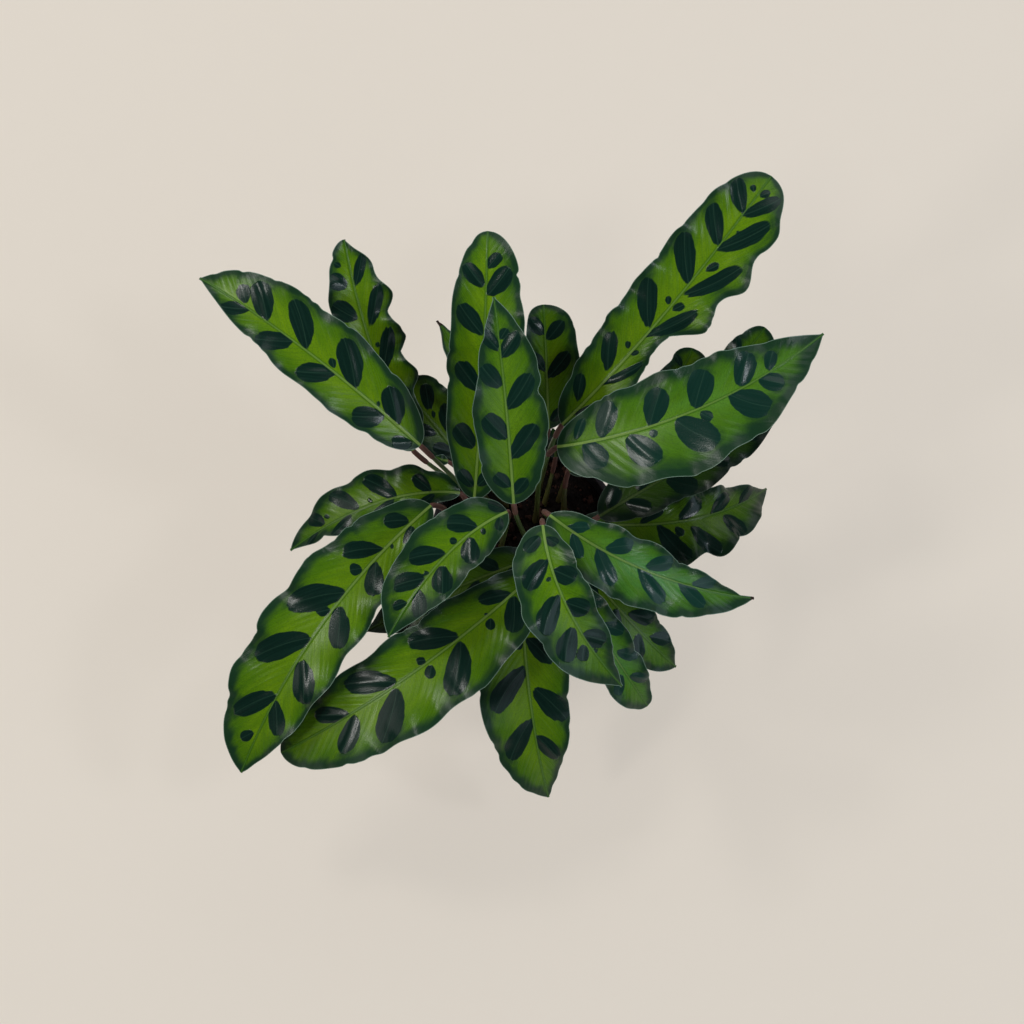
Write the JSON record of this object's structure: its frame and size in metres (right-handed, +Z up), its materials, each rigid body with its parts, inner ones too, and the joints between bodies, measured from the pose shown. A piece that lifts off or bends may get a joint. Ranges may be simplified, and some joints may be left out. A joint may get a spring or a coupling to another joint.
{
  "type": "potted rattlesnake plant",
  "caption": "Potted prayer plant: long leaves with waved margins arch outward on thin stalks that rise from crumbly soil in a round, tapered nursery pot.",
  "frame": {"origin": "centre of the pot's foot, on the surface that it stands on", "axes": "+Z up; +Y away from the viewer of the picture, +X to the picture's right"},
  "size_m": [0.3901, 0.3795, 0.2896],
  "materials": {
    "pot": "matte",
    "soil": "matte",
    "blade": "satin",
    "stalk": "satin"
  },
  "bodies": {
    "root": {"pot": "pot", "soil": "soil", "leaf_01_blade": "blade", "leaf_01_stalk": "stalk", "leaf_02_blade": "blade", "leaf_02_stalk": "stalk", "leaf_03_blade": "blade", "leaf_03_stalk": "stalk", "leaf_04_blade": "blade", "leaf_04_stalk": "stalk", "leaf_05_blade": "blade", "leaf_05_stalk": "stalk", "leaf_06_blade": "blade", "leaf_06_stalk": "stalk", "leaf_07_blade": "blade", "leaf_07_stalk": "stalk", "leaf_08_blade": "blade", "leaf_08_stalk": "stalk", "leaf_09_blade": "blade", "leaf_09_stalk": "stalk", "leaf_10_blade": "blade", "leaf_10_stalk": "stalk", "leaf_11_blade": "blade", "leaf_11_stalk": "stalk", "leaf_12_blade": "blade", "leaf_12_stalk": "stalk", "leaf_13_blade": "blade", "leaf_13_stalk": "stalk", "leaf_14_blade": "blade", "leaf_14_stalk": "stalk", "leaf_15_blade": "blade", "leaf_15_stalk": "stalk", "leaf_16_blade": "blade", "leaf_16_stalk": "stalk", "leaf_17_blade": "blade", "leaf_17_stalk": "stalk", "leaf_18_blade": "blade", "leaf_18_stalk": "stalk", "leaf_19_blade": "blade", "leaf_19_stalk": "stalk", "leaf_20_blade": "blade", "leaf_20_stalk": "stalk", "leaf_21_blade": "blade", "leaf_21_stalk": "stalk", "leaf_22_blade": "blade", "leaf_22_stalk": "stalk", "leaf_23_blade": "blade", "leaf_23_stalk": "stalk", "leaf_24_blade": "blade", "leaf_24_stalk": "stalk", "leaf_25_blade": "blade", "leaf_25_stalk": "stalk", "leaf_26_blade": "blade", "leaf_26_stalk": "stalk"}
  },
  "joints": []
}
